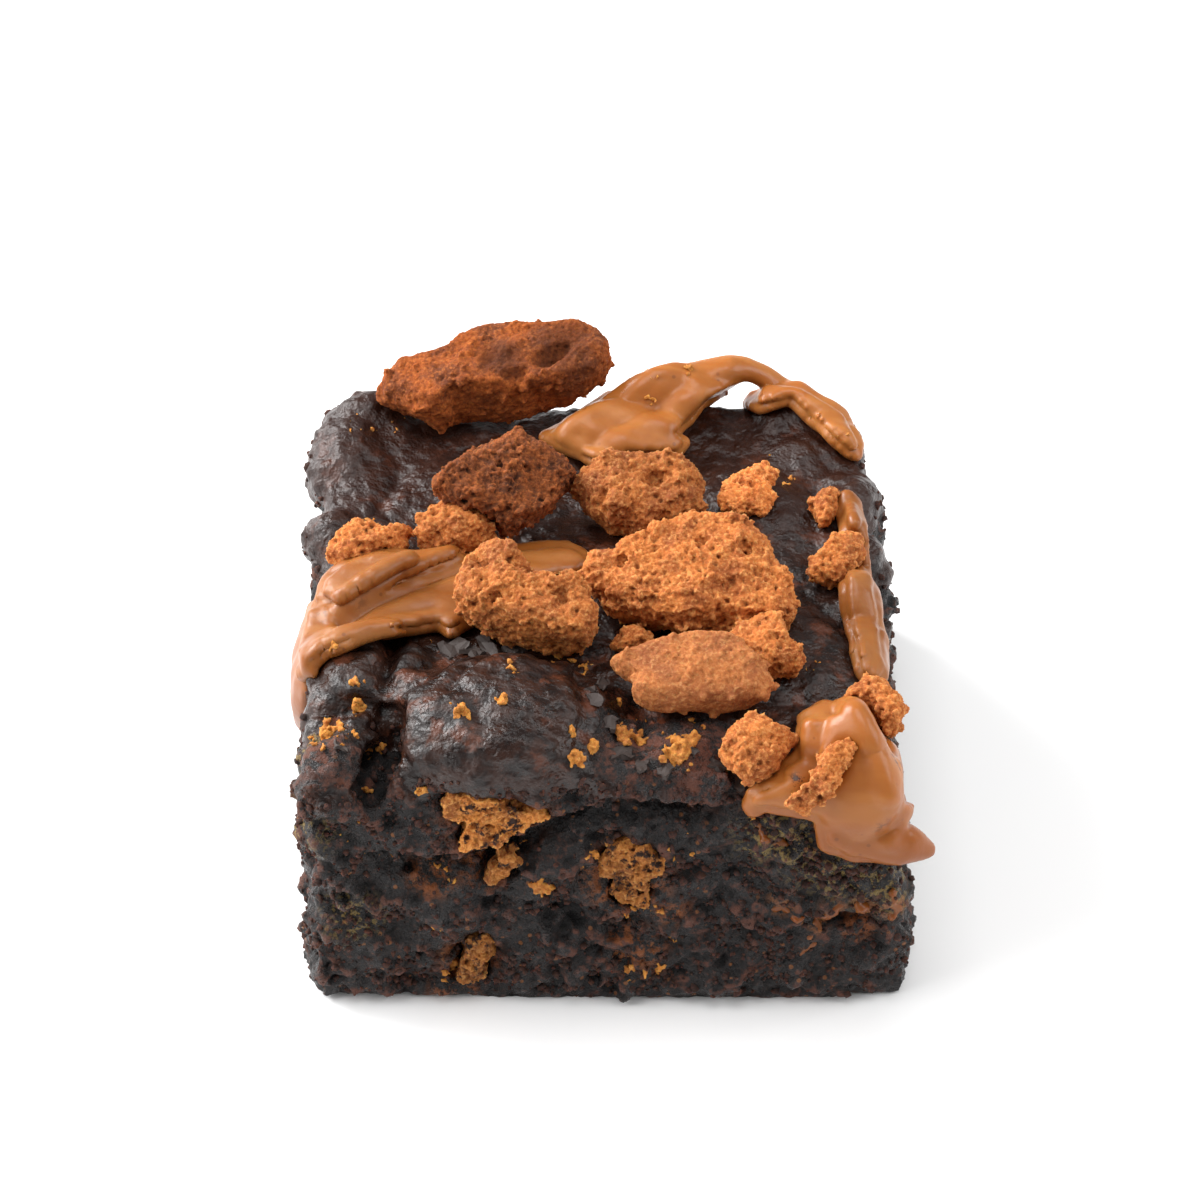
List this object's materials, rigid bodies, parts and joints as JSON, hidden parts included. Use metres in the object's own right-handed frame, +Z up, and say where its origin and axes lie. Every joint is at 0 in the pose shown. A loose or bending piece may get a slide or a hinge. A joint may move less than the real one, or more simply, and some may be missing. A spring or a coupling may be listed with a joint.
{
  "type": "chocolate brownie",
  "caption": "Square of dark chocolate brownie with a lumpy crust, smears of caramel biscuit spread, and broken biscuit on top and baked into the crumb",
  "frame": {"origin": "On the flat underside, at the middle of the square cut", "axes": "+X to the right along the front cut, +Y to the back, +Z up from the underside to the crust"},
  "size_m": [0.0731, 0.0752, 0.0473],
  "materials": {
    "crumb": "moist dark chocolate crumb under a satin, lumpy crust",
    "biscuit": "dry, sandy, porous baked biscuit",
    "dark_biscuit": "dry, porous biscuit baked to a deeper brown",
    "spread": "smooth, glossy caramel-coloured biscuit spread"
  },
  "bodies": {
    "root": {"brownie": "crumb", "inclusion_upper": "biscuit", "inclusion_left": "biscuit", "inclusion_middle": "biscuit", "inclusion_low": "biscuit", "biscuit_nub": "biscuit", "biscuit_small": "biscuit", "biscuit_left": "biscuit", "biscuit_sliver": "biscuit", "biscuit_right": "biscuit", "biscuit_chip": "biscuit", "biscuit_front_shard": "biscuit", "biscuit_front": "biscuit", "biscuit_middle": "biscuit", "biscuit_large": "biscuit", "biscuit_pitted": "biscuit", "biscuit_dark": "dark_biscuit", "biscuit_back": "biscuit", "biscuit_edge": "biscuit", "biscuit_corner": "biscuit", "biscuit_in_spread": "biscuit", "spread_left": "spread", "spread_back": "spread", "spread_right": "spread", "spread_corner": "spread"}
  },
  "joints": []
}
